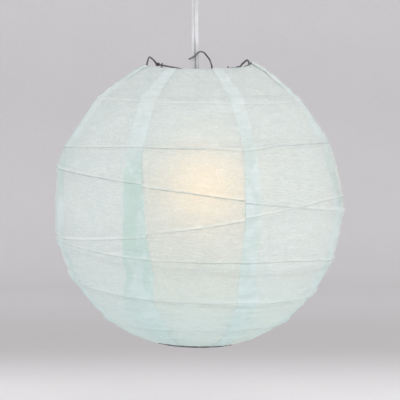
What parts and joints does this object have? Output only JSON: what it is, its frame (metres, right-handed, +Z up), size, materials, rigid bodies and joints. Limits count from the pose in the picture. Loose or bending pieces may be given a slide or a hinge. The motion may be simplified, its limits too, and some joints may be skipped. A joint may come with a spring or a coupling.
{
  "type": "paper lantern pendant light",
  "caption": "Round accordion paper lantern on hoops and a wire expander, hung over a bulb on a flat twin cord from a ceiling cover; the shade folds up flat.",
  "frame": {"origin": "on the ceiling plane, at the middle of the ceiling strap, over the cord", "axes": "+Z up along the cord towards the ceiling, +X along the expander's bar, -Y the front"},
  "size_m": [0.3062, 0.3062, 0.4224],
  "materials": {
    "paper": "thin pale mint fibre paper, translucent",
    "hoop_wire": "grey wire",
    "dark_wire": "dark steel wire",
    "white_cord": "smooth white vinyl",
    "white_plastic": "satin",
    "insulator": "black moulding",
    "contact_brass": "bare",
    "bulb_metal": "bare",
    "frosted_glass": "frosted",
    "zinc_steel": "zinc plated"
  },
  "bodies": {
    "fitting": {"ceiling_strap": "zinc_steel", "cord_anchor": "zinc_steel", "clamp_screw": "zinc_steel", "cord": "white_cord", "cord_bush": "white_plastic", "socket_cap": "white_plastic", "socket_shell": "white_plastic", "socket_insulator": "insulator", "socket_sleeve": "contact_brass", "socket_contact": "contact_brass"},
    "lantern": {"hanger_bar": "dark_wire", "hanging_hook": "dark_wire", "left_leg": "dark_wire", "right_leg": "dark_wire", "top_ring": "hoop_wire", "gore_1": "paper", "gore_2": "paper", "gore_3": "paper", "gore_4": "paper", "gore_5": "paper", "gore_6": "paper", "gore_7": "paper", "gore_8": "paper"},
    "shade_base": {"bottom_ring": "hoop_wire"},
    "hoop_1": {"rib_1": "hoop_wire"},
    "hoop_2": {"rib_2": "hoop_wire"},
    "hoop_3": {"rib_3": "hoop_wire"},
    "hoop_4": {"rib_4": "hoop_wire"},
    "hoop_5": {"rib_5": "hoop_wire"},
    "hoop_6": {"rib_6": "hoop_wire"},
    "hoop_7": {"rib_7": "hoop_wire"},
    "bulb_end": {"bulb_tip": "bulb_metal"},
    "bulb": {"bulb_glass": "frosted_glass", "bulb_base": "bulb_metal", "bulb_insulator": "insulator"},
    "cover": {"ceiling_cover": "white_plastic", "cord_grip": "white_plastic", "grip_nut": "white_plastic", "grip_screw": "zinc_steel"}
  },
  "joints": [
    {"name": "lantern_swivel", "type": "hinge", "parent": "fitting", "child": "lantern", "pos_m": [0, 0, -0.13], "axis": [0, 0, 1], "continuous": true},
    {"name": "shade_collapse", "type": "slide", "parent": "lantern", "child": "shade_base", "axis": [0, 0, 1], "range_m": [0, 0.23], "deforming": ["gore_1", "gore_2", "gore_3", "gore_4", "gore_5", "gore_6", "gore_7", "gore_8"]},
    {"name": "hoop_1_follow", "type": "hinge", "parent": "lantern", "child": "hoop_1", "pos_m": [0.0026, 0.5418, -0.14876], "axis": [-1, 0, 0], "range_deg": [0, 2.42]},
    {"name": "hoop_2_follow", "type": "hinge", "parent": "lantern", "child": "hoop_2", "pos_m": [4.58494, 0, -0.17955], "axis": [0, 1, 0], "range_deg": [0, 0.82]},
    {"name": "hoop_3_follow", "type": "hinge", "parent": "lantern", "child": "hoop_3", "pos_m": [-0.84007, 0, -0.20672], "axis": [0, -1, 0], "range_deg": [0, 6.81]},
    {"name": "hoop_4_follow", "type": "hinge", "parent": "lantern", "child": "hoop_4", "pos_m": [1.02118, 0.42256, -0.22134], "axis": [-0.3832, 0.9237, 0], "range_deg": [0, 6.24]},
    {"name": "hoop_5_follow", "type": "hinge", "parent": "lantern", "child": "hoop_5", "pos_m": [-1.2141, 1.33882, -0.24367], "axis": [-0.7401, -0.6725, 0], "range_deg": [0, 4.76]},
    {"name": "hoop_6_follow", "type": "hinge", "parent": "lantern", "child": "hoop_6", "pos_m": [-1.21553, 1.64802, -0.26419], "axis": [-0.8042, -0.5944, 0], "range_deg": [0, 4.98]},
    {"name": "hoop_7_follow", "type": "hinge", "parent": "lantern", "child": "hoop_7", "pos_m": [-1.33562, 6.15896, -0.28677], "axis": [-0.9772, -0.2123, 0], "range_deg": [0, 1.9]},
    {"name": "bulb_drop", "type": "slide", "parent": "fitting", "child": "bulb_end", "axis": [0, 0, 1], "range_m": [-0.01825, 0]},
    {"name": "bulb_unscrew", "type": "hinge", "parent": "bulb_end", "child": "bulb", "pos_m": [0, 0, -0.25], "axis": [0, 0, 1], "range_deg": [-1800, 0]},
    {"name": "cover_slide", "type": "slide", "parent": "fitting", "child": "cover", "axis": [0, 0, 1], "range_m": [-0.05, 0]}
  ],
  "couplings": [
    {"joint": "hoop_1_follow", "follows": "shade_collapse", "rad_per_m": 0.1821},
    {"joint": "hoop_2_follow", "follows": "shade_collapse", "rad_per_m": 0.060712},
    {"joint": "hoop_3_follow", "follows": "shade_collapse", "rad_per_m": 0.51514},
    {"joint": "hoop_4_follow", "follows": "shade_collapse", "rad_per_m": 0.47213},
    {"joint": "hoop_5_follow", "follows": "shade_collapse", "rad_per_m": 0.36007},
    {"joint": "hoop_6_follow", "follows": "shade_collapse", "rad_per_m": 0.37661},
    {"joint": "hoop_7_follow", "follows": "shade_collapse", "rad_per_m": 0.14288},
    {"joint": "bulb_drop", "follows": "bulb_unscrew", "m_per_rad": 0.00057773}
  ]
}
